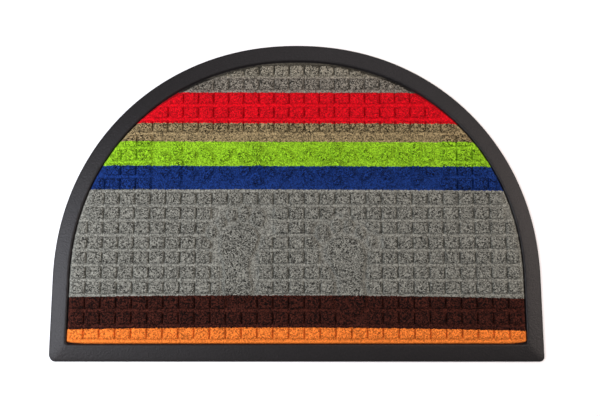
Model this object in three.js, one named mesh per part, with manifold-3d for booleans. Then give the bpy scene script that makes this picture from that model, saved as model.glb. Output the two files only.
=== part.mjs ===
import * as THREE from "three";
import { mergeGeometries, mergeVertices } from "three/addons/utils/BufferGeometryUtils.js";
import Module from "manifold-3d";

// Half-moon doormat, in millimetres, +Z up: a heat-pressed carpet seated in a moulded rubber tray.
// The origin lies on the floor under the middle of the mat. The straight edge faces -Y, the arch +Y.

const wasm = await Module();
wasm.setup();

// Driving sizes of the mat
const MAT_WIDTH = 600;
const MAT_DEPTH = 400;
const STRAIGHT_EDGE = -MAT_DEPTH / 2;
const FLOOR_THICKNESS = 2.2;
const CLEARANCE = 0.3;

// Outlines: a straight skirt up to the spring line, then an arch that follows a superellipse
const OUTER = {
  halfWidth: MAT_WIDTH / 2,
  bottom: STRAIGHT_EDGE,
  spring: STRAIGHT_EDGE + 100,
  crown: MAT_DEPTH / 2,
  power: 2.08,
  leftCorner: 9,
  rightCorner: 6
};
const CARPET = {
  halfWidth: 278.7,
  bottom: STRAIGHT_EDGE + 21,
  spring: STRAIGHT_EDGE + 100,
  crown: STRAIGHT_EDGE + 376.7,
  power: 2.085,
  leftCorner: 4,
  rightCorner: 4
};
const ARCH_STEPS = 72;
const CORNER_STEPS = 4;

// Section of the rubber border, from its outer edge (across 0) to the wall round the carpet (across 1)
const BORDER_SECTION = [
  { across: 0, height: 0 },
  { across: 0, height: 1.5 },
  { across: 0.04, height: 2 },
  { across: 0.45, height: 3.9 },
  { across: 0.84, height: 5.3 },
  { across: 0.91, height: 5.4 },
  { across: 0.96, height: 4.8 },
  { across: 1, height: 3.4 },
  { across: 1, height: FLOOR_THICKNESS }
];

// The carpet's heights
const CARPET_BOTTOM = FLOOR_THICKNESS + CLEARANCE;
const CARPET_EDGE_TOP = 4.3;
const GROUND_TOP = 4.9;
const PILE_TOP = 7.6;
const EDGE_ROUNDING = 1.4;
const ROOT = 0.4;

// The pressed grid: columns are centred on x = 0, and row 0 starts at its first groove
const COLUMN_PITCH = 19.11;
const ROW_PITCH = 18.416;
const FIRST_GROOVE = STRAIGHT_EDGE + 42.9;
const LAST_COLUMN = 14;
const FIRST_ROW = -1;
const LAST_ROW = 17;
const SQUARE_WIDTH = 16.2;
const SQUARE_LENGTH = 15.4;
const SIDE_DRAFT = 0.5;
const SIDE_MARGIN = 4;
const CROWN_MARGIN = 3.7;

// The smooth panel across the mat, with its raised ornament
const PANEL = { lastColumn: 9, firstRow: 9, lastRow: 12 };
const MOTIFS = 7;
const MOTIF_PITCH = 50;
const MOTIF_CENTRE_ROW = 10.85;
const FLOWER = { heart: 7, petals: 6, petalReach: 18, petalLength: 9.5, petalWidth: 6 };
const SPRIG = { leaves: 4, leafReach: 17, leafLength: 12.5, leafWidth: 5 };
const LEAF_TAPER = 0.3;
const MOTIF_STEPS = 10;

// A bare footprint: half widths of the sole along its length, then the toes
const SOLE_ROWS = [
  { along: 6, outer: 12, inner: 12 },
  { along: 19, outer: 18, inner: 17 },
  { along: 36, outer: 17, inner: 13 },
  { along: 51, outer: 19, inner: 13 },
  { along: 66, outer: 23, inner: 19 },
  { along: 81, outer: 23, inner: 24 },
  { along: 93, outer: 14, inner: 18 }
];
const SOLE_TIP = { along: 99, inner: 3 };
const SOLE_STEPS = 30;
const TOES = [
  { across: 24, along: 106, width: 8.5, length: 10.5 },
  { across: 6, along: 112.5, width: 6.5, length: 8.5 },
  { across: -9, along: 110, width: 6, length: 8 },
  { across: -22, along: 101, width: 5.5, length: 7.5 },
  { across: -34, along: 88.5, width: 5, length: 7 }
];
const TOE_STEPS = 10;
const HALO = 5.5;
const FOOTPRINTS = [
  { side: 1, x: -71, row: 1.4, turn: 0 },
  { side: -1, x: 69, row: 0.6, turn: 0.12 }
];

// Finishes: matt black rubber, and the grey that most of the carpet has
const RUBBER_FINISH = { color: 0x3a3838, roughness: 0.6, metalness: 0 };
const CARPET_FINISH = { color: 0x75746d, roughness: 0.95, metalness: 0 };

// Points on an ellipse, anticlockwise
function ellipse({ x = 0, y = 0, across, along, turn = 0, steps }) {
  const points = [];
  for (let i = 0; i < steps; i++) {
    const angle = (2 * Math.PI * i) / steps;
    const point = new THREE.Vector2(across * Math.cos(angle), along * Math.sin(angle));
    points.push(point.rotateAround(new THREE.Vector2(), turn).add(new THREE.Vector2(x, y)));
  }
  return points;
}

// A leaf that points along its length: two bowed sides that meet in a tip at each end
function leaf({ x, y, width, length, turn, steps }) {
  const points = [];
  for (let i = 0; i < steps; i++) {
    const angle = (2 * Math.PI * i) / steps;
    const bow = Math.sin(angle) * Math.abs(Math.sin(angle)) ** LEAF_TAPER;
    const point = new THREE.Vector2(length * Math.cos(angle), width * bow);
    points.push(point.rotateAround(new THREE.Vector2(), turn).add(new THREE.Vector2(x, y)));
  }
  return points;
}

function rectangle(x, y, width, length) {
  return [
    new THREE.Vector2(x - width / 2, y - length / 2),
    new THREE.Vector2(x + width / 2, y - length / 2),
    new THREE.Vector2(x + width / 2, y + length / 2),
    new THREE.Vector2(x - width / 2, y + length / 2)
  ];
}

// The half-moon outline, anticlockwise from the right-hand end of the straight edge
function halfMoon({ halfWidth, bottom, spring, crown, power, leftCorner, rightCorner }) {
  const points = [];
  const addCorner = (x, radius, start) => {
    for (let i = 0; i <= CORNER_STEPS; i++) {
      const angle = start + (Math.PI / 2) * (i / CORNER_STEPS);
      const y = bottom + radius + radius * Math.sin(angle);
      points.push(new THREE.Vector2(x + radius * Math.cos(angle), y));
    }
  };
  addCorner(halfWidth - rightCorner, rightCorner, -Math.PI / 2);
  for (let i = 0; i <= ARCH_STEPS; i++) {
    const angle = (Math.PI * i) / ARCH_STEPS;
    const across = Math.abs(Math.cos(angle)) ** (2 / power) * Math.sign(Math.cos(angle));
    const up = Math.abs(Math.sin(angle)) ** (2 / power);
    points.push(new THREE.Vector2(halfWidth * across, spring + (crown - spring) * up));
  }
  addCorner(-halfWidth + leftCorner, leftCorner, Math.PI);
  return points;
}

// The same outline, moved outwards by grow (inwards when it is below zero)
function grown(outline, grow, crownGrow = grow) {
  return {
    ...outline,
    halfWidth: outline.halfWidth + grow,
    bottom: outline.bottom - grow,
    crown: outline.crown + crownGrow
  };
}

// Each corner of a loop moved inwards, so that its sides lie inset from where they were
function insetLoop(loop, inset) {
  return loop.map((point, i) => {
    const before = loop[(i + loop.length - 1) % loop.length];
    const after = loop[(i + 1) % loop.length];
    const inBefore = point.clone().sub(before).normalize().rotateAround(new THREE.Vector2(), Math.PI / 2);
    const inAfter = after.clone().sub(point).normalize().rotateAround(new THREE.Vector2(), Math.PI / 2);
    const reach = inset / (1 + inBefore.dot(inAfter));
    return point.clone().add(inBefore.add(inAfter).multiplyScalar(reach));
  });
}

function atHeight(loop, height) {
  return loop.map((point) => new THREE.Vector3(point.x, point.y, height));
}

// A closed skin over a stack of rings with as many points each, with a fan over the first and the last ring
function loft(rings) {
  const count = rings[0].length;
  const positions = rings.flat();
  const indices = [];
  for (let r = 0; r + 1 < rings.length; r++) {
    for (let i = 0; i < count; i++) {
      const a = r * count + i;
      const b = r * count + ((i + 1) % count);
      indices.push(a, b, b + count);
      indices.push(a, b + count, a + count);
    }
  }
  const middle = (ring) => ring.reduce((sum, p) => sum.add(p), new THREE.Vector3()).divideScalar(count);
  const firstMiddle = positions.push(middle(rings[0])) - 1;
  const lastMiddle = positions.push(middle(rings[rings.length - 1])) - 1;
  const lastRing = (rings.length - 1) * count;
  for (let i = 0; i < count; i++) {
    const next = (i + 1) % count;
    indices.push(firstMiddle, next, i);
    indices.push(lastMiddle, lastRing + i, lastRing + next);
  }
  const geometry = new THREE.BufferGeometry().setFromPoints(positions);
  geometry.setIndex(indices);
  return geometry;
}

// A straight-sided block over a loop
function block(loop, bottom, top) {
  return loft([atHeight(loop, bottom), atHeight(loop, top)]);
}

// A raised pad of pile over a loop, with sides that lean in and roots inside the carpet's ground
function pad(loop) {
  return loft([atHeight(loop, GROUND_TOP - ROOT), atHeight(insetLoop(loop, SIDE_DRAFT), PILE_TOP)]);
}

function solidOf(geometry) {
  const bare = geometry.clone();
  bare.deleteAttribute("normal");
  bare.deleteAttribute("uv");
  const merged = mergeVertices(bare);
  return new wasm.Manifold(new wasm.Mesh({
    numProp: 3,
    vertProperties: new Float32Array(merged.attributes.position.array),
    triVerts: new Uint32Array(merged.index.array)
  }));
}

function geometryOf(solid) {
  const mesh = solid.getMesh();
  const geometry = new THREE.BufferGeometry();
  geometry.setAttribute("position", new THREE.BufferAttribute(new Float32Array(mesh.vertProperties), 3));
  geometry.setIndex(new THREE.BufferAttribute(new Uint32Array(mesh.triVerts), 1));
  geometry.computeVertexNormals();
  return geometry;
}

// Rubber tray

function rubberGeometry() {
  const outer = halfMoon(OUTER);
  const wall = halfMoon(grown(CARPET, CLEARANCE));
  const rings = BORDER_SECTION.map(({ across, height }) => {
    const loop = outer.map((point, i) => point.clone().lerp(wall[i], across));
    return atHeight(loop, height);
  });
  const geometry = loft(rings);
  geometry.computeVertexNormals();
  return geometry;
}

// Footprints

function placed(loop, { side, x, row, turn }) {
  const heel = new THREE.Vector2(x, FIRST_GROOVE + row * ROW_PITCH);
  const points = loop.map((point) => {
    const mirrored = new THREE.Vector2(point.x * side, point.y);
    return mirrored.rotateAround(new THREE.Vector2(), turn).add(heel);
  });
  return side > 0 ? points : points.reverse();
}

function soleLoop(grow) {
  const inner = SOLE_ROWS.map((row) => new THREE.Vector3(row.inner + grow, row.along, 0));
  const outer = SOLE_ROWS.map((row) => new THREE.Vector3(-row.outer - grow, row.along, 0)).reverse();
  const heel = new THREE.Vector3(0, -grow, 0);
  const tip = new THREE.Vector3(SOLE_TIP.inner, SOLE_TIP.along + grow, 0);
  const curve = new THREE.CatmullRomCurve3([heel, ...inner, tip, ...outer], true, "centripetal");
  return curve.getSpacedPoints(SOLE_STEPS).slice(0, -1).map((p) => new THREE.Vector2(p.x, p.y));
}

function toeLoop({ across, along, width, length }, grow) {
  return ellipse({ x: across, y: along, across: width + grow, along: length + grow, steps: TOE_STEPS });
}

// The loops of one footprint, grown to mark the smooth halo that is pressed round it
function footprintLoops(place, grow) {
  const loops = [soleLoop(grow), ...TOES.map((toe) => toeLoop(toe, grow))];
  return loops.map((loop) => placed(loop, place));
}

// Ornament

// Copies of a loop set round a point, the first at the angle start
function around(x, y, count, start, reach, makeLoop) {
  const loops = [];
  for (let i = 0; i < count; i++) {
    const turn = start + (2 * Math.PI * i) / count;
    loops.push(makeLoop(x + reach * Math.cos(turn), y + reach * Math.sin(turn), turn));
  }
  return loops;
}

function flowerLoops(x, y) {
  const { heart, petals, petalReach, petalLength, petalWidth } = FLOWER;
  const petal = (px, py, turn) =>
    ellipse({ x: px, y: py, across: petalLength, along: petalWidth, turn, steps: MOTIF_STEPS });
  const middle = ellipse({ x, y, across: heart, along: heart, steps: MOTIF_STEPS });
  return [middle, ...around(x, y, petals, Math.PI / 2, petalReach, petal)];
}

function sprigLoops(x, y) {
  const { leaves, leafReach, leafLength, leafWidth } = SPRIG;
  const blade = (lx, ly, turn) =>
    leaf({ x: lx, y: ly, width: leafWidth, length: leafLength, turn, steps: MOTIF_STEPS });
  return around(x, y, leaves, Math.PI / 4, leafReach, blade);
}

function ornamentLoops() {
  const y = FIRST_GROOVE + MOTIF_CENTRE_ROW * ROW_PITCH;
  const loops = [];
  for (let i = 0; i < MOTIFS; i++) {
    const x = (i - (MOTIFS - 1) / 2) * MOTIF_PITCH;
    loops.push(...(i % 2 === 0 ? flowerLoops(x, y) : sprigLoops(x, y)));
  }
  return loops;
}

// Carpet

function isInside(point, loop) {
  let inside = false;
  for (let i = 0; i < loop.length; i++) {
    const a = loop[i];
    const b = loop[(i + 1) % loop.length];
    const crosses = a.y > point.y !== b.y > point.y;
    if (crosses && point.x < a.x + ((point.y - a.y) / (b.y - a.y)) * (b.x - a.x)) inside = !inside;
  }
  return inside;
}

function inPanel(column, row) {
  return Math.abs(column) <= PANEL.lastColumn && row >= PANEL.firstRow && row <= PANEL.lastRow;
}

// The raised squares whose middle lies on the pile and clear of the panel and the halos
function squareLoops(pileEdge, halos) {
  const loops = [];
  for (let row = FIRST_ROW; row <= LAST_ROW; row++) {
    for (let column = -LAST_COLUMN; column <= LAST_COLUMN; column++) {
      const middle = new THREE.Vector2(column * COLUMN_PITCH, FIRST_GROOVE + (row + 0.5) * ROW_PITCH);
      if (inPanel(column, row) || !isInside(middle, pileEdge)) continue;
      if (halos.some((halo) => isInside(middle, halo))) continue;
      loops.push(rectangle(middle.x, middle.y, SQUARE_WIDTH, SQUARE_LENGTH));
    }
  }
  return loops;
}

function carpetGeometry() {
  const edge = halfMoon(CARPET);
  const shoulder = halfMoon(grown(CARPET, -EDGE_ROUNDING));
  const pileEdge = halfMoon(grown(CARPET, -SIDE_MARGIN, -CROWN_MARGIN));
  const halos = FOOTPRINTS.flatMap((place) => footprintLoops(place, HALO));
  const ground = solidOf(loft([
    atHeight(edge, CARPET_BOTTOM),
    atHeight(edge, CARPET_EDGE_TOP),
    atHeight(shoulder, GROUND_TOP)
  ]));
  const pileRegion = solidOf(block(pileEdge, 0, 2 * PILE_TOP));
  const haloRegion = wasm.Manifold.union(halos.map((loop) => solidOf(block(loop, 0, 2 * PILE_TOP))));
  const squares = solidOf(mergeGeometries(squareLoops(pileEdge, halos).map(pad)));
  const feet = FOOTPRINTS.flatMap((place) => footprintLoops(place, 0));
  const figures = solidOf(mergeGeometries([...feet, ...ornamentLoops()].map(pad)));
  const pile = squares.intersect(pileRegion).subtract(haloRegion).add(figures);
  return geometryOf(ground.add(pile));
}

// The two pieces

function mesh(name, geometry, finish) {
  const piece = new THREE.Mesh(geometry, new THREE.MeshStandardMaterial(finish));
  piece.name = name;
  return piece;
}

const group = new THREE.Group();
group.add(mesh("rubber_base", rubberGeometry(), RUBBER_FINISH));
group.add(mesh("carpet", carpetGeometry(), CARPET_FINISH));

export default group;
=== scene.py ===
import math

import bpy
import numpy as np
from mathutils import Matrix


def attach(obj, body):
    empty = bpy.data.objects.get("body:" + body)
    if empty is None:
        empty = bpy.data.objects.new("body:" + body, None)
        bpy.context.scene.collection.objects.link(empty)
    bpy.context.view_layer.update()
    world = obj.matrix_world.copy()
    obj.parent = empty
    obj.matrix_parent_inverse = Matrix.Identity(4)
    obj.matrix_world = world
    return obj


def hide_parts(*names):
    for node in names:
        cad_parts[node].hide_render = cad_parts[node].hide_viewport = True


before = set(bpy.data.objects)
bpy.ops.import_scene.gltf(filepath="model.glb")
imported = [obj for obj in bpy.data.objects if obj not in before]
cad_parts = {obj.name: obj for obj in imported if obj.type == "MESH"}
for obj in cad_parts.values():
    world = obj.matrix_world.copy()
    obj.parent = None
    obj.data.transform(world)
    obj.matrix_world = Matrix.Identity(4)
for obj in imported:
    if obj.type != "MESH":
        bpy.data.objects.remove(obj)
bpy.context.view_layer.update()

# All sizes are in millimetres, measured in the model's frame, and become metres in new_mesh
MM = 0.001

# Outlines and levels. They follow the solids, but the carpet ends a little further in at the straight edge
MAT_DEPTH = 400.0
STRAIGHT_EDGE = -MAT_DEPTH / 2
OUTER = dict(half_width=300.0, bottom=STRAIGHT_EDGE, spring=-100.0, crown=200.0, power=2.08,
             left_corner=(8.0, 10.0), right_corner=(6.0, 6.0))
WELL = dict(half_width=279.0, bottom=-178.9, spring=-100.0, crown=177.0, power=2.085,
            left_corner=(4.0, 4.0), right_corner=(4.0, 4.0))
CARPET = dict(half_width=278.7, bottom=-178.6, spring=-100.0, crown=176.7, power=2.085,
              left_corner=(28.0, 3.2), right_corner=(28.0, 3.2))
TRAY_FLOOR = 2.2
CARPET_BOTTOM = 2.5
CARPET_EDGE_TOP = 3.0
GROUND_TOP = 4.9
PILE_TOP = 7.4

# The pressed ground rounds down to the carpet's edge, where the painted shade by height makes a dark line.
# Near the crown it does so further in, and lies lower, for a wider band of painted shade
EDGE_ROUNDING = 2.8
EDGE_GAP = 0.4
CROWN_GAP = 2.6
CROWN_GAP_ZONE = (90, 150)
CROWN_SINK = 1.2
CROWN_SINK_ZONE = (156, 164)

# The pressed grid of squares
COLUMN_PITCH = 19.11
ROW_PITCH = 18.416
FIRST_GROOVE = STRAIGHT_EDGE + 42.9
SQUARE_WIDTH = 17.5
SQUARE_LENGTH = 14.9
SQUARE_CORNER = 2.0
CUT_CORNER = 3.0
SIDE_MARGIN = 4.0
CROWN_MARGIN = 3.6
CUT_SQUARES_FROM_ROW = 16
PANEL_LAST_COLUMN = 9
PANEL_FIRST_ROW = 9
PANEL_LAST_ROW = 12
NO_SQUARE = -2.0

# The grooves between rows are a little shallower than those between columns, which lifts them into the
# painted light of the shade by height
ROW_GROOVE_RISE = 0.3
ROW_GROOVE_SIDES = (1.4, 2.0)
ROW_GROOVES_FROM = FIRST_GROOVE - 1

# The raised ornament on the smooth panel
MOTIFS = 7
MOTIF_PITCH = 50.0
MOTIF_ROW = 10.85
FLOWER = dict(heart=7.0, petals=6, reach=18.0, length=9.5, width=6.0)
SPRIG = dict(leaves=4, reach=17.0, length=12.5, width=5.0)
LEAF_TAPER = 0.3

# A bare footprint: half widths of the sole along its length, then the toes
SOLE_ROWS = [
    dict(along=6, outer=12, inner=12),
    dict(along=19, outer=18, inner=17),
    dict(along=36, outer=17, inner=13),
    dict(along=51, outer=19, inner=13),
    dict(along=66, outer=23, inner=19),
    dict(along=81, outer=23, inner=24),
    dict(along=93, outer=14, inner=18),
]
SOLE_TIP = dict(along=99, inner=3)
TOES = [
    dict(across=24, along=106, width=8.5, length=10.5),
    dict(across=6, along=112.5, width=6.5, length=8.5),
    dict(across=-9, along=110, width=6, length=8),
    dict(across=-22, along=101, width=5.5, length=7.5),
    dict(across=-34, along=88.5, width=5, length=7),
]
HALO = 5.5
HALO_FADE = 1.5
FOOTPRINTS = [
    dict(side=1, x=-71, row=1.4, turn=0.0),
    dict(side=-1, x=69, row=0.6, turn=0.12),
]

# Stripes of the carpet, from the straight edge to the crown: where each ends, its colour in sRGB, and how
# much its fibres differ in shade: 0 is one even shade, 1 a mix of light and dark ones, more a stronger mix
STRIPES = {
    "orange": dict(end=40.2, colour=(234, 126, 50), heather=0.5),
    "brown": dict(end=79.2, colour=(54, 23, 16), heather=1.5),
    "grey": dict(end=210.0, colour=(121, 121, 113), heather=0.92),
    "navy": dict(end=239.9, colour=(18, 45, 103), heather=0.95),
    "lime": dict(end=271.0, colour=(133, 182, 33), heather=0.8),
    "tan": dict(end=294.1, colour=(132, 116, 84), heather=1.2),
    "red": dict(end=335.0, colour=(208, 8, 25), heather=0.5),
    # The last two greys are the grey painted darker, then lighter, by rows near the crown: painted shade and
    # painted light for how light falls on the top rows
    "upper_grey_painted_shade": dict(end=355.5, colour=(119, 114, 104), heather=1.05),
    "crown_grey_painted_light": dict(end=400.0, colour=(130, 125, 111), heather=0.9),
}
# The stripes lie a little askew, and the lowest ones bow towards the straight edge at their ends
STRIPE_TILT = 0.003
STRIPE_BOW = 0.04
BOW_ZONE = (-120, 70)
STRIPE_FUZZ = 3.0


# Loops: closed outlines as arrays of points, anticlockwise

ARCH_STEPS = 240
CORNER_STEPS = 8
OVAL_STEPS = 20
OVAL_ANGLES = np.arange(OVAL_STEPS) * 2 * math.pi / OVAL_STEPS
SOLE_STEPS = 5


def half_moon(half_width, bottom, spring, crown, power, left_corner, right_corner):
    """Two rounded corners at the straight edge, and an arch that follows a superellipse."""
    def corner(side, size, start):
        length, rise = size
        angles = start + np.linspace(0, math.pi / 2, CORNER_STEPS + 1)
        x = side * (half_width - length) + length * np.cos(angles)
        return np.stack([x, bottom + rise + rise * np.sin(angles)], axis=1)

    angles = np.linspace(0, math.pi, ARCH_STEPS + 1)
    across = np.abs(np.cos(angles)) ** (2 / power) * np.sign(np.cos(angles))
    up = np.abs(np.sin(angles)) ** (2 / power)
    arch = np.stack([half_width * across, spring + (crown - spring) * up], axis=1)
    right = corner(1, right_corner, -math.pi / 2)
    left = corner(-1, left_corner, math.pi)
    return np.concatenate([right, arch, left])


def inset(outline, sides, crown):
    return dict(outline, half_width=outline["half_width"] - sides, bottom=outline["bottom"] + sides,
                crown=outline["crown"] - crown)


def turned(points, turn, x=0.0, y=0.0):
    c, s = math.cos(turn), math.sin(turn)
    across, along = points.T
    return np.stack([x + across * c - along * s, y + across * s + along * c], axis=1)


def ellipse(x, y, across, along, turn=0.0):
    return turned(np.stack([across * np.cos(OVAL_ANGLES), along * np.sin(OVAL_ANGLES)], axis=1), turn, x, y)


def leaf(x, y, length, width, turn):
    bow = np.sin(OVAL_ANGLES) * np.abs(np.sin(OVAL_ANGLES)) ** LEAF_TAPER
    return turned(np.stack([length * np.cos(OVAL_ANGLES), width * bow], axis=1), turn, x, y)


def smooth_loop(points):
    """A closed Catmull-Rom curve through the points."""
    p1 = np.array(points, float)
    p0, p2, p3 = np.roll(p1, 1, 0), np.roll(p1, -1, 0), np.roll(p1, -2, 0)
    t = (np.arange(SOLE_STEPS) / SOLE_STEPS)[None, :, None]
    p0, p1, p2, p3 = (p[:, None, :] for p in (p0, p1, p2, p3))
    curve = 0.5 * (2 * p1 + (p2 - p0) * t + (2 * p0 - 5 * p1 + 4 * p2 - p3) * t ** 2
                   + (3 * p1 - p0 - 3 * p2 + p3) * t ** 3)
    return curve.reshape(-1, 2)


def sole(grow):
    inner = [(row["inner"] + grow, row["along"]) for row in SOLE_ROWS]
    outer = [(-row["outer"] - grow, row["along"]) for row in reversed(SOLE_ROWS)]
    return smooth_loop([(0, -grow), *inner, (SOLE_TIP["inner"], SOLE_TIP["along"] + grow), *outer])


def footprint(place, grow=0.0):
    """The loops of one footprint, grown where they mark the smooth halo that is pressed round it."""
    toes = [ellipse(t["across"], t["along"], t["width"] + grow, t["length"] + grow) for t in TOES]
    heel_y = FIRST_GROOVE + place["row"] * ROW_PITCH
    mirror = np.array([place["side"], 1.0])
    loops = [turned(loop * mirror, place["turn"], place["x"], heel_y) for loop in [sole(grow), *toes]]
    return loops if place["side"] > 0 else [loop[::-1] for loop in loops]


def around(x, y, count, start, reach, make_loop):
    turns = [start + 2 * math.pi * i / count for i in range(count)]
    return [make_loop(x + reach * math.cos(turn), y + reach * math.sin(turn), turn) for turn in turns]


def flower(x, y):
    petals = around(x, y, FLOWER["petals"], math.pi / 2, FLOWER["reach"],
                    lambda px, py, turn: ellipse(px, py, FLOWER["length"], FLOWER["width"], turn))
    return [ellipse(x, y, FLOWER["heart"], FLOWER["heart"]), *petals]


def sprig(x, y):
    return around(x, y, SPRIG["leaves"], math.pi / 4, SPRIG["reach"],
                  lambda lx, ly, turn: leaf(lx, ly, SPRIG["length"], SPRIG["width"], turn))


def ornament():
    """A row of flowers and sprigs by turns."""
    y = FIRST_GROOVE + MOTIF_ROW * ROW_PITCH
    loops = []
    for i in range(MOTIFS):
        x = (i - (MOTIFS - 1) / 2) * MOTIF_PITCH
        loops += flower(x, y) if i % 2 == 0 else sprig(x, y)
    return loops


def depth_in(points, loop):
    """How deep each point lies inside a loop (below zero outside it), and the nearest point on the loop."""
    best = np.full(len(points), np.inf)
    nearest = np.zeros_like(points)
    inside = np.zeros(len(points), bool)
    for a, b in zip(loop, np.roll(loop, -1, axis=0)):
        side = b - a
        along = np.clip(((points - a) @ side) / (side @ side), 0, 1)
        foot = a + along[:, None] * side
        gap = np.hypot(*(points - foot).T)
        closer = gap < best
        best[closer] = gap[closer]
        nearest[closer] = foot[closer]
        spans = (a[1] > points[:, 1]) != (b[1] > points[:, 1])
        if side[1] != 0:
            inside ^= spans & (points[:, 0] < a[0] + (points[:, 1] - a[1]) * side[0] / side[1])
    return np.where(inside, best, -best), nearest


SEARCH_REACH = 12.0


def depth_in_any(points, loops):
    """The greatest depth inside any of the loops, worked out near each loop only."""
    depth = np.full(len(points), -SEARCH_REACH)
    for loop in loops:
        low, high = loop.min(axis=0) - SEARCH_REACH, loop.max(axis=0) + SEARCH_REACH
        near = np.all((points > low) & (points < high), axis=1)
        depth[near] = np.maximum(depth[near], depth_in(points[near], loop)[0])
    return depth


# The relief of the carpet

NOISE_CELLS = 256


def smoothstep(low, high, value):
    t = np.clip((value - low) / (high - low), 0, 1)
    return t * t * (3 - 2 * t)


def uneven(points, amount, width, seed):
    """Smooth noise between plus and minus the amount, with features about as wide as the width."""
    table = np.random.default_rng(seed).uniform(-1, 1, (NOISE_CELLS, NOISE_CELLS))
    p = points / width
    cell = np.floor(p).astype(int)
    t = p - cell
    t = t * t * (3 - 2 * t)
    x0, y0 = cell[:, 0] % NOISE_CELLS, cell[:, 1] % NOISE_CELLS
    x1, y1 = (x0 + 1) % NOISE_CELLS, (y0 + 1) % NOISE_CELLS
    low = table[x0, y0] * (1 - t[:, 0]) + table[x1, y0] * t[:, 0]
    high = table[x0, y1] * (1 - t[:, 0]) + table[x1, y1] * t[:, 0]
    return amount * (low * (1 - t[:, 1]) + high * t[:, 1])


def rounded_least(a, b, radius):
    """The smaller of two depths, with a rounded corner where the two are equal."""
    blend = np.maximum(radius - np.abs(a - b), 0)
    return np.minimum(a, b) - blend ** 2 / (4 * radius)


def cell_middles(cells):
    """The middle of each cell of the grid, given by its column and its row."""
    return np.stack([cells[:, 0] * COLUMN_PITCH, FIRST_GROOVE + (cells[:, 1] + 0.5) * ROW_PITCH], axis=1)


class Relief:
    """Which places of the carpet stand up as pile, and how deep inside a raised form each point lies."""

    def __init__(self):
        self.edge = half_moon(**CARPET)
        self.pile_edge = half_moon(**inset(CARPET, SIDE_MARGIN, CROWN_MARGIN))
        self.halos = [loop for place in FOOTPRINTS for loop in footprint(place, HALO)]
        self.feet = [loop for place in FOOTPRINTS for loop in footprint(place)]
        self.figures = self.feet + ornament()

    def squares(self, points):
        """How deep each point lies inside the square of its cell. The panel and the halos have no squares."""
        column = np.round(points[:, 0] / COLUMN_PITCH)
        row = np.floor((points[:, 1] - FIRST_GROOVE) / ROW_PITCH)
        cells = np.stack([column, row], axis=1)
        places, which = np.unique(cells, axis=0, return_inverse=True)
        centres = cell_middles(places)
        columns, rows = np.abs(places[:, 0]), places[:, 1]
        least = np.where(rows >= CUT_SQUARES_FROM_ROW, -SQUARE_LENGTH / 2, 0)
        kept = (depth_in(centres, self.pile_edge)[0] > least) & (depth_in_any(centres, self.halos) < 0)
        kept &= ~((columns <= PANEL_LAST_COLUMN) & (rows >= PANEL_FIRST_ROW) & (rows <= PANEL_LAST_ROW))
        half = np.array([SQUARE_WIDTH, SQUARE_LENGTH]) / 2 - SQUARE_CORNER
        beyond = np.abs(points - cell_middles(cells)) - half
        outside = np.hypot(*np.maximum(beyond, 0).T)
        depth = SQUARE_CORNER - outside - np.minimum(beyond.max(axis=1), 0)
        return np.where(kept[which.ravel()], depth, NO_SQUARE)

    def row_groove(self, points):
        """How much of a groove between two rows of squares each point lies in, from 0 to 1."""
        row = (points[:, 1] - FIRST_GROOVE) / ROW_PITCH
        off = np.abs(row - np.round(row)) * ROW_PITCH
        clear = smoothstep(0, HALO_FADE, -depth_in_any(points, self.halos))
        clear *= points[:, 1] > ROW_GROOVES_FROM
        panel_rows = (row > PANEL_FIRST_ROW + 0.5) & (row < PANEL_LAST_ROW + 0.5)
        clear *= ~(panel_rows & (np.abs(points[:, 0]) < (PANEL_LAST_COLUMN + 0.5) * COLUMN_PITCH))
        return clear * (1 - smoothstep(*ROW_GROOVE_SIDES, off))

    def depth(self, points):
        squares = rounded_least(self.squares(points), depth_in(points, self.pile_edge)[0], CUT_CORNER)
        squares = np.minimum(squares, -depth_in_any(points, self.halos))
        return np.maximum(squares, depth_in_any(points, self.figures))


relief = Relief()


def new_mesh(name, vertices, faces):
    mesh = bpy.data.meshes.new(name)
    mesh.from_pydata((np.asarray(vertices) * MM).tolist(), [], faces)
    mesh.validate()
    mesh.polygons.foreach_set("use_smooth", [True] * len(mesh.polygons))
    piece = bpy.data.objects.new(name, mesh)
    bpy.context.scene.collection.objects.link(piece)
    return piece


# Carpet

# The mesh's lines, from the middle of a groove to the middle of a square
COLUMN_MARKS = np.array([0, 0.55, 0.95, 1.45, 2.6, 4.5, 6.9])
ROW_MARKS = np.array([0, 1.0, 1.62, 1.86, 2.25, 4.1, 6.5])
LINE_MARGIN = 1.5
EDGE_SNAP = 0.4

# The pile rises over the shoulder, is a little domed, and lies lower where a foot is pressed into it
SHOULDER = 0.5
DOME_WIDTH = 2.5
DOME_RISE = 0.3
DOME_DROP = 0.2
FOOT_SINK = 0.3
FOOT_FADE = 1.5

# Unevenness of the fibre
RAGGED_SIDES = dict(amount=0.28, width=1.7, seed=1)
PRESSED_GROUND = dict(amount=0.05, width=2.5, seed=2)
TUFTED_PILE = dict(amount=0.22, width=1.2, seed=3)
WAVY_PILE = dict(amount=0.08, width=6, seed=4)


def grid_lines(low, high, first_groove, pitch, marks):
    """Lines across the grid, closer together at the grooves than on the squares."""
    marks = np.concatenate([marks, [pitch / 2], pitch - marks[:0:-1]])
    cells = np.arange(math.floor((low - first_groove) / pitch), math.ceil((high - first_groove) / pitch))
    lines = (first_groove + cells[:, None] * pitch + marks).ravel()
    return lines[(lines > low - LINE_MARGIN) & (lines < high + LINE_MARGIN)]


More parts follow.
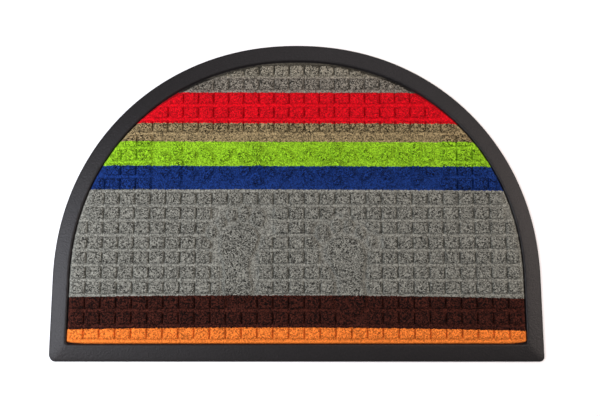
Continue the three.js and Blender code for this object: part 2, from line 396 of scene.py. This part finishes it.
def carpet_height(points):
    depth = relief.depth(points) + uneven(points, **RAGGED_SIDES)
    raised = smoothstep(0, SHOULDER, depth)
    edge_depth = np.maximum(depth_in(points, relief.edge)[0], 0)
    gap = EDGE_GAP + (CROWN_GAP - EDGE_GAP) * smoothstep(*CROWN_GAP_ZONE, points[:, 1])
    rounding = 1 - np.clip((edge_depth - gap) / EDGE_ROUNDING, 0, 1)
    ground = GROUND_TOP - (GROUND_TOP - CARPET_EDGE_TOP) * rounding ** 2
    ground = np.maximum(ground - CROWN_SINK * smoothstep(*CROWN_SINK_ZONE, points[:, 1]), CARPET_EDGE_TOP)
    ground = ground + uneven(points, **PRESSED_GROUND) + ROW_GROOVE_RISE * relief.row_groove(points)
    dome = DOME_RISE * smoothstep(0, DOME_WIDTH, depth) - DOME_DROP
    pile = uneven(points, **TUFTED_PILE) + uneven(points, **WAVY_PILE) + dome
    trodden = FOOT_SINK * smoothstep(0, FOOT_FADE, depth_in_any(points, relief.feet))
    return ground + raised * (PILE_TOP - ground + pile - trodden)


def make_carpet():
    low, high = relief.edge.min(axis=0), relief.edge.max(axis=0)
    xs = grid_lines(low[0], high[0], -COLUMN_PITCH / 2, COLUMN_PITCH, COLUMN_MARKS)
    ys = grid_lines(low[1], high[1], FIRST_GROOVE, ROW_PITCH, ROW_MARKS)
    points = np.stack(np.meshgrid(xs, ys), axis=-1).reshape(-1, 2)
    depth, nearest = depth_in(points, relief.edge)
    snapped = depth < EDGE_SNAP
    points = np.where(snapped[:, None], nearest, points)
    index = np.arange(len(points)).reshape(len(ys), len(xs))
    quads = np.stack([index[:-1, :-1], index[:-1, 1:], index[1:, 1:], index[1:, :-1]], axis=-1).reshape(-1, 4)
    quads = quads[~snapped[quads].all(axis=1)]
    used = np.unique(quads)
    renumber = np.zeros(len(points), int)
    renumber[used] = np.arange(len(used))
    quads, points = renumber[quads], points[used]
    top = np.column_stack([points, carpet_height(points)])

    # The rim: every side that belongs to one quad only is drawn down to the bottom, and closed to its middle
    sides = np.concatenate([quads[:, [i, (i + 1) % 4]] for i in range(4)])
    keys = {(a, b) for a, b in sides.tolist()}
    rim = [(a, b) for a, b in keys if (b, a) not in keys]
    below = {}
    bottom = []
    for a, _ in rim:
        below[a] = len(points) + len(bottom)
        bottom.append((*points[a], CARPET_BOTTOM))
    middle = len(points) + len(bottom)
    bottom.append((0.0, 0.0, CARPET_BOTTOM))
    faces = quads.tolist()
    for a, b in rim:
        faces.append([b, a, below[a], below[b]])
        faces.append([below[b], below[a], middle])
    return new_mesh("pressed_carpet", np.concatenate([top, np.array(bottom)]), faces)


# Pile loops: short thick fibres, curled over, that cover every raised form

LOOP_SPACING = 1.85
LOOP_JITTER = 0.45
LOOP_LEAST_DEPTH = 0.3
LOOP_STATIONS = (-1.0, -0.45, 0.45, 1.0)
LOOP_REACH = (0.8, 1.6)
LOOP_OVERHANG = 0.5
LOOP_BEND = 0.5
LOOP_HEIGHT = (0.35, 1.0)
LOOP_SINK = 0.5
LOOP_THICKNESS = 1.1
LOOP_TAPER = 0.8
LOOP_CURL = 0.45
PILE_BANDS = [
    dict(name="pile_loops_lower", low=-176.0, high=-62.0, seed=11),
    dict(name="pile_loops_middle", low=-62.0, high=60.0, seed=12),
    dict(name="pile_loops_upper", low=60.0, high=175.0, seed=13),
]


def make_pile_loops(name, low, high, seed):
    rng = np.random.default_rng(seed)
    xs = np.arange(-CARPET["half_width"], CARPET["half_width"], LOOP_SPACING)
    ys = np.arange(low, high, LOOP_SPACING)
    middles = np.stack(np.meshgrid(xs, ys), axis=-1).reshape(-1, 2)
    middles = middles + rng.uniform(-LOOP_JITTER, LOOP_JITTER, middles.shape) * LOOP_SPACING
    depth = relief.depth(middles)
    on_pile = depth > LOOP_LEAST_DEPTH
    middles, depth = middles[on_pile], depth[on_pile]
    count = len(middles)
    height = carpet_height(middles)
    turn = rng.uniform(0, 2 * math.pi, count)
    reach = np.minimum(rng.uniform(*LOOP_REACH, count), depth + LOOP_OVERHANG)
    bend = rng.uniform(-LOOP_BEND, LOOP_BEND, count) * reach
    tall = rng.uniform(*LOOP_HEIGHT, count)
    ahead = np.stack([np.cos(turn), np.sin(turn)], axis=1)
    aside = np.stack([-ahead[:, 1], ahead[:, 0]], axis=1)
    rows = []
    for station in LOOP_STATIONS:
        arch = 1 - station ** 2
        centre = middles + ahead * (station * reach)[:, None] + aside * (bend * arch)[:, None]
        level = height - LOOP_SINK + (tall + LOOP_SINK) * arch
        half = LOOP_THICKNESS / 2 * math.sqrt(1 - LOOP_TAPER * station ** 2)
        for across, curl in ((-half, LOOP_CURL), (0, 0), (half, LOOP_CURL)):
            rows.append(np.column_stack([centre + aside * across, level - curl]))
    vertices = np.stack(rows, axis=1).reshape(-1, 3)
    starts = [3 * s + k for s in range(len(LOOP_STATIONS) - 1) for k in range(2)]
    one = np.array([[a, a + 3, a + 4, a + 1] for a in starts])
    faces = (one[None, :, :] + len(rows) * np.arange(count)[:, None, None]).reshape(-1, 4)
    return new_mesh(name, vertices, faces.tolist())


# Rubber tray

# The border's section, from its outer edge (across 0) to the wall round the carpet (across 1)
BORDER_SECTION = [
    dict(across=0.0, height=0.0),
    dict(across=0.0, height=1.1),
    dict(across=0.012, height=1.6),
    dict(across=0.04, height=2.0),
    dict(across=0.2, height=2.8),
    dict(across=0.45, height=3.9),
    dict(across=0.68, height=4.8),
    dict(across=0.84, height=5.3),
    dict(across=0.885, height=5.4),
    dict(across=0.925, height=5.3),
    dict(across=0.955, height=4.9),
    dict(across=0.98, height=4.2),
    dict(across=1.0, height=3.3),
    dict(across=1.0, height=TRAY_FLOOR),
]
# Towards the crown the wall falls away, which leaves a crevice beside the carpet
CROWN_CREVICE = 1.6
CREVICE_ZONE = (60, 150)
CREVICE_ACROSS = (0.9, 0.95)


def make_tray():
    outer = half_moon(**OUTER)
    wall = half_moon(**WELL)
    near_crown = smoothstep(*CREVICE_ZONE, wall[:, 1])
    rings = []
    for row in BORDER_SECTION:
        loop = outer + (wall - outer) * row["across"]
        sink = CROWN_CREVICE * near_crown * smoothstep(*CREVICE_ACROSS, row["across"])
        height = np.maximum(row["height"] - sink, min(row["height"], TRAY_FLOOR))
        rings.append(np.column_stack([loop, height]))
    count = len(outer)
    vertices = np.concatenate(rings + [[[0, 0, 0]], [[0, 0, TRAY_FLOOR]]])
    under, floor = len(vertices) - 2, len(vertices) - 1
    last = (len(rings) - 1) * count
    faces = []
    for i in range(count):
        j = (i + 1) % count
        for r in range(len(rings) - 1):
            faces.append([r * count + i, r * count + j, (r + 1) * count + j, (r + 1) * count + i])
        faces.append([under, j, i])
        faces.append([floor, last + i, last + j])
    return new_mesh("rubber_tray", vertices, faces)


# Nodes

def linear(colour):
    """An sRGB colour from 0 to 255, as the linear colour that a shader takes."""
    values = [c / 255 for c in colour]
    return tuple(v / 12.92 if v <= 0.04045 else ((v + 0.055) / 1.055) ** 2.4 for v in values)


def new_node(tree, kind, **values):
    """A node with values on its sockets. An underscore stands for the space in a socket's name."""
    node = tree.nodes.new("ShaderNode" + kind)
    for label, value in values.items():
        node.inputs[label.replace("_", " ")].default_value = value
    return node


def math_node(tree, operation, a, b):
    node = new_node(tree, "Math")
    node.operation = operation
    for socket, value in zip(node.inputs, (a, b)):
        if isinstance(value, (int, float)):
            socket.default_value = value
        else:
            tree.links.new(value, socket)
    return node.outputs[0]


def ramp_node(tree, factor, stops, interpolation):
    """A ramp through stops, each a position from 0 to 1 and a colour with alpha."""
    ramp = new_node(tree, "ValToRGB")
    ramp.color_ramp.interpolation = interpolation
    elements = ramp.color_ramp.elements
    elements.remove(elements[1])
    for i, (position, colour) in enumerate(stops):
        stop = elements[0] if i == 0 else elements.new(position)
        stop.position = position
        stop.color = colour
    tree.links.new(factor, ramp.inputs["Fac"])
    return ramp.outputs["Color"], ramp.outputs["Alpha"]


def socket_group(name, inputs, outputs):
    """A new node group, the node with its inputs, the node for its outputs, and each place on the piece."""
    group = bpy.data.node_groups.new(name, "ShaderNodeTree")
    for label, default in inputs.items():
        socket = group.interface.new_socket(label, in_out="INPUT", socket_type="NodeSocketFloat")
        socket.default_value = default
    for label in outputs:
        group.interface.new_socket(label, in_out="OUTPUT", socket_type="NodeSocketFloat")
    place = new_node(group, "TexCoord").outputs["Object"]
    return group, group.nodes.new("NodeGroupInput"), group.nodes.new("NodeGroupOutput"), place


def grain_group():
    """Fine grain: a mask of light and dark specks, and the height that goes with it."""
    inputs = {"Scale": 700.0, "Roughness": 0.6}
    group, given, out, place = socket_group("fine_grain", inputs, ["Mask", "Height"])
    noise = new_node(group, "TexNoise", Detail=3.0)
    group.links.new(place, noise.inputs["Vector"])
    group.links.new(given.outputs["Scale"], noise.inputs["Scale"])
    group.links.new(given.outputs["Roughness"], noise.inputs["Roughness"])
    spread = new_node(group, "MapRange", From_Min=0.3, From_Max=0.7)
    group.links.new(noise.outputs["Fac"], spread.inputs["Value"])
    group.links.new(spread.outputs["Result"], out.inputs["Mask"])
    group.links.new(noise.outputs["Fac"], out.inputs["Height"])
    return group


def tuft_group():
    """Tufts of fibre: a random shade for each tuft, and a rounded height for each."""
    group, given, out, place = socket_group("fibre_tufts", {"Scale": 550.0}, ["Mask", "Height"])
    cells = new_node(group, "TexVoronoi")
    group.links.new(place, cells.inputs["Vector"])
    group.links.new(given.outputs["Scale"], cells.inputs["Scale"])
    shade = new_node(group, "SeparateColor")
    group.links.new(cells.outputs["Color"], shade.inputs["Color"])
    group.links.new(shade.outputs["Red"], out.inputs["Mask"])
    rounded = new_node(group, "MapRange", From_Max=0.8, To_Min=1.0, To_Max=0.0)
    group.links.new(cells.outputs["Distance"], rounded.inputs["Value"])
    group.links.new(rounded.outputs["Result"], out.inputs["Height"])
    return group


def mottle_group():
    """Broad, soft patches, as handling and dust leave them."""
    group, given, out, place = socket_group("soft_mottle", {"Scale": 18.0}, ["Mask"])
    noise = new_node(group, "TexNoise", Detail=2.0)
    group.links.new(place, noise.inputs["Vector"])
    group.links.new(given.outputs["Scale"], noise.inputs["Scale"])
    group.links.new(noise.outputs["Fac"], out.inputs["Mask"])
    return group


FINE_GRAIN = grain_group()
FIBRE_TUFTS = tuft_group()
SOFT_MOTTLE = mottle_group()


def placed_group(tree, group, **values):
    node = new_node(tree, "Group")
    node.node_tree = group
    for label, value in values.items():
        node.inputs[label].default_value = value
    return node.outputs


def scaled(tree, colour, factor):
    """The colour times a factor that changes over the surface."""
    node = new_node(tree, "VectorMath")
    node.operation = "SCALE"
    tree.links.new(factor, node.inputs["Scale"])
    if isinstance(colour, tuple):
        node.inputs[0].default_value = colour
    else:
        tree.links.new(colour, node.inputs[0])
    return node.outputs[0]


def shaded(tree, colour, mask, dark, light):
    """The colour, made darker where the mask is 0 and lighter where it is 1."""
    factor = new_node(tree, "MapRange", To_Min=dark, To_Max=light)
    tree.links.new(mask, factor.inputs["Value"])
    return scaled(tree, colour, factor.outputs["Result"])


def bumped(tree, shader, height, strength, distance):
    bump = new_node(tree, "Bump", Strength=strength, Distance=distance * MM)
    tree.links.new(height, bump.inputs["Height"])
    tree.links.new(bump.outputs["Normal"], shader.inputs["Normal"])


def new_material(name, roughness, specular):
    material = bpy.data.materials.new(name)
    material.use_nodes = True
    shader = material.node_tree.nodes["Principled BSDF"]
    shader.inputs["Roughness"].default_value = roughness
    shader.inputs["Specular IOR Level"].default_value = specular
    return material, material.node_tree, shader


# Materials

# Painted shade and light by height, and how much the tufts' shades differ there: painted shade in the crevice
# at the edge, on the sides of the squares and between the loops; a painted highlight on the rim and on the
# tops of the loops;
# light and even where it is pressed smooth, which is partly the pressed fibre's own finish and partly painted
# light, most of all in the row grooves
PAINTED_SHADE_BY_HEIGHT = [
    dict(height=3.1, shade=0.12, contrast=0.3),
    dict(height=3.7, shade=0.45, contrast=0.3),
    dict(height=4.2, shade=1.2, contrast=0.5),
    dict(height=4.75, shade=1.15, contrast=0.5),
    dict(height=4.9, shade=0.9, contrast=0.62),
    dict(height=5.2, shade=1.13, contrast=0.6),
    dict(height=5.6, shade=0.8, contrast=0.7),
    dict(height=6.5, shade=0.75, contrast=0.9),
    dict(height=7.0, shade=0.78, contrast=1.0),
    dict(height=7.4, shade=0.75, contrast=1.0),
    dict(height=8.2, shade=1.13, contrast=0.8),
]
HIGHEST = 10.0
MOST_PAINTED_SHADE = 2.0
# The share of that painted shade and light which every stripe shows, however even its fibres are
PAINTED_SHADE_IN_ALL = 0.15
TUFT_CONTRAST = 1.18
GRAIN_CONTRAST = 0.3
LEAST_TONE = 0.1
BLACK_RUBBER = (0.0052, 0.0038, 0.0043)


def stripe_colour(tree):
    """The stripe at each place along the mat, with edges as uneven as the fibres leave them."""
    place = new_node(tree, "TexCoord").outputs["Object"]
    split = new_node(tree, "SeparateXYZ")
    tree.links.new(place, split.inputs[0])
    fuzz = new_node(tree, "TexNoise", Scale=450.0)
    tree.links.new(place, fuzz.inputs["Vector"])
    centred = math_node(tree, "SUBTRACT", fuzz.outputs["Fac"], 0.5)
    wobble = math_node(tree, "MULTIPLY", centred, STRIPE_FUZZ * MM)
    low, high = BOW_ZONE
    bowed = new_node(tree, "MapRange", From_Min=low * MM, From_Max=high * MM, To_Min=STRIPE_BOW, To_Max=0.0)
    tree.links.new(split.outputs["Y"], bowed.inputs["Value"])
    squared = math_node(tree, "POWER", split.outputs["X"], 2.0)
    bow = math_node(tree, "MULTIPLY", squared, bowed.outputs["Result"])
    askew = math_node(tree, "MULTIPLY", split.outputs["X"], STRIPE_TILT)
    shift = math_node(tree, "ADD", wobble, math_node(tree, "ADD", bow, askew))
    along = math_node(tree, "ADD", split.outputs["Y"], shift)
    from_edge = math_node(tree, "ADD", along, -STRAIGHT_EDGE * MM)
    position = math_node(tree, "DIVIDE", from_edge, MAT_DEPTH * MM)
    starts = [0.0] + [stripe["end"] / MAT_DEPTH for stripe in STRIPES.values()]
    colours = [(*linear(stripe["colour"]), stripe["heather"]) for stripe in STRIPES.values()]
    colour, heather = ramp_node(tree, position, zip(starts, colours), "CONSTANT")
    return colour, heather, split.outputs["Z"]


def painted_height_shade(tree, height):
    """The painted shade and light of the fibre by its height, and the contrast between tufts."""
    levels = [row["shade"] / MOST_PAINTED_SHADE for row in PAINTED_SHADE_BY_HEIGHT]
    colours = [(level, level, level, row["contrast"]) for level, row in zip(levels, PAINTED_SHADE_BY_HEIGHT)]
    positions = [row["height"] / HIGHEST for row in PAINTED_SHADE_BY_HEIGHT]
    factor = math_node(tree, "DIVIDE", height, HIGHEST * MM)
    level, contrast = ramp_node(tree, factor, zip(positions, colours), "LINEAR")
    return math_node(tree, "MULTIPLY", level, MOST_PAINTED_SHADE), contrast


def toned(tree, mask, contrast):
    """A factor round 1: less where the mask is 0 and more where it is 1, by the contrast."""
    centred = math_node(tree, "SUBTRACT", math_node(tree, "MULTIPLY", mask, 2.0), 1.0)
    tone = math_node(tree, "ADD", math_node(tree, "MULTIPLY", centred, contrast), 1.0)
    return math_node(tree, "MAXIMUM", tone, LEAST_TONE)


def carpet_material():
    material, tree, shader = new_material("striped_polypropylene_pile", roughness=0.9, specular=0.12)
    colour, heather, height = stripe_colour(tree)
    shade, contrast = painted_height_shade(tree, height)
    # The painted shade by height shows in full where the fibres are mixed, and only in part where they are
    # even
    painted_shade_share = math_node(tree, "ADD", math_node(tree, "MULTIPLY", heather, 1 - PAINTED_SHADE_IN_ALL), PAINTED_SHADE_IN_ALL)
    from_even = math_node(tree, "MULTIPLY", math_node(tree, "SUBTRACT", shade, 1.0), painted_shade_share)
    shade = math_node(tree, "ADD", from_even, 1.0)
    contrast = math_node(tree, "MULTIPLY", contrast, heather)
    tufts = placed_group(tree, FIBRE_TUFTS, Scale=800.0)
    grain = placed_group(tree, FINE_GRAIN, Scale=900.0, Roughness=0.6)
    tuft_tone = toned(tree, tufts["Mask"], math_node(tree, "MULTIPLY", contrast, TUFT_CONTRAST))
    grain_tone = toned(tree, grain["Mask"], math_node(tree, "MULTIPLY", contrast, GRAIN_CONTRAST))
    # The tufts' random tone, times the painted shade and light by height
    tone = math_node(tree, "MULTIPLY", math_node(tree, "MULTIPLY", tuft_tone, grain_tone), shade)
    mottle = placed_group(tree, SOFT_MOTTLE, Scale=22.0)
    finished = shaded(tree, scaled(tree, colour, tone), mottle["Mask"], dark=0.92, light=1.08)
    tree.links.new(finished, shader.inputs["Base Color"])
    bumped(tree, shader, tufts["Height"], strength=0.8, distance=1.0)
    return material


def rubber_material():
    material, tree, shader = new_material("matt_moulded_rubber", roughness=0.5, specular=0.35)
    mottle = placed_group(tree, SOFT_MOTTLE, Scale=30.0)
    grain = placed_group(tree, FINE_GRAIN, Scale=450.0, Roughness=0.6)
    colour = shaded(tree, BLACK_RUBBER, mottle["Mask"], dark=0.7, light=1.3)
    colour = shaded(tree, colour, grain["Mask"], dark=0.6, light=1.4)
    tree.links.new(colour, shader.inputs["Base Color"])
    bumped(tree, shader, grain["Height"], strength=0.7, distance=0.8)
    return material


# The pieces, in place of their solids

def dress(piece, material):
    piece.data.materials.append(material)
    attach(piece, "root")


carpet = make_carpet()
loops = [make_pile_loops(**band) for band in PILE_BANDS]
tray = make_tray()
carpet_finish = carpet_material()
for piece in [carpet, *loops]:
    dress(piece, carpet_finish)
dress(tray, rubber_material())
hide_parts("carpet")
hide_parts("rubber_base")


# Floor, light and camera, with places and lamps in metres and power in watts

FLOOR_HALF = 4000.0
PALE_FLOOR = (0.96, 0.96, 0.96, 1)
WORLD_STRENGTH = 0.31
LAMPS = [
    dict(name="key_from_left", place=(-0.74, -0.1, 0.53), size=(0.42, 0.42), watts=7.0,
         colour=(0.88, 0.91, 1.0)),
    dict(name="fill_from_right", place=(1.05, 0.15, 0.8), size=(0.8, 0.4), watts=9.4,
         colour=(1.0, 0.86, 0.79)),
    dict(name="glow_from_front_left", place=(-0.8, -0.6, 1.05), size=(0.5, 0.5), watts=4.2,
         colour=(1.0, 0.95, 1.0)),
    dict(name="glow_from_behind", place=(0.25, 1.15, 1.1), size=(1.2, 0.5), watts=5.6,
         colour=(1.0, 0.93, 0.96)),
]
CAMERA_PLACE = (0.0042, -0.1656, 0.9616)
CAMERA_ELEVATION = 80.94
SENSOR_WIDTH = 36
FOCAL_PIXELS = 780.0
FRAME_WIDTH_PIXELS = 600
SHIFT_PIXELS = 0.5


def make_floor():
    square = [(-FLOOR_HALF, -FLOOR_HALF, 0), (FLOOR_HALF, -FLOOR_HALF, 0),
              (FLOOR_HALF, FLOOR_HALF, 0), (-FLOOR_HALF, FLOOR_HALF, 0)]
    floor = new_mesh("floor", square, [[0, 1, 2, 3]])
    material, _, shader = new_material("pale_floor", roughness=0.9, specular=0.5)
    shader.inputs["Base Color"].default_value = PALE_FLOOR
    floor.data.materials.append(material)


def make_world():
    world = bpy.data.worlds.new("studio")
    world.use_nodes = True
    background = world.node_tree.nodes["Background"]
    background.inputs["Color"].default_value = (1, 1, 1, 1)
    background.inputs["Strength"].default_value = WORLD_STRENGTH
    bpy.context.scene.world = world


def area_light(aim, name, place, size, watts, colour):
    data = bpy.data.lights.new(name, "AREA")
    data.shape = "RECTANGLE"
    data.size, data.size_y = size
    data.energy = watts
    data.color = colour
    light = bpy.data.objects.new(name, data)
    light.location = place
    bpy.context.scene.collection.objects.link(light)
    track = light.constraints.new("TRACK_TO")
    track.target = aim
    track.track_axis = "TRACK_NEGATIVE_Z"
    track.up_axis = "UP_Y"


def make_camera():
    data = bpy.data.cameras.new("camera")
    data.sensor_width = SENSOR_WIDTH
    data.lens = SENSOR_WIDTH * FOCAL_PIXELS / FRAME_WIDTH_PIXELS
    data.shift_y = SHIFT_PIXELS / FRAME_WIDTH_PIXELS
    camera = bpy.data.objects.new("camera", data)
    camera.location = CAMERA_PLACE
    camera.rotation_euler = (math.radians(90 - CAMERA_ELEVATION), 0, 0)
    bpy.context.scene.collection.objects.link(camera)
    bpy.context.scene.camera = camera


make_floor()
make_world()
middle_of_mat = bpy.data.objects.new("aim", None)
bpy.context.scene.collection.objects.link(middle_of_mat)
for lamp in LAMPS:
    area_light(middle_of_mat, **lamp)
make_camera()
bpy.context.scene.view_settings.view_transform = "Standard"
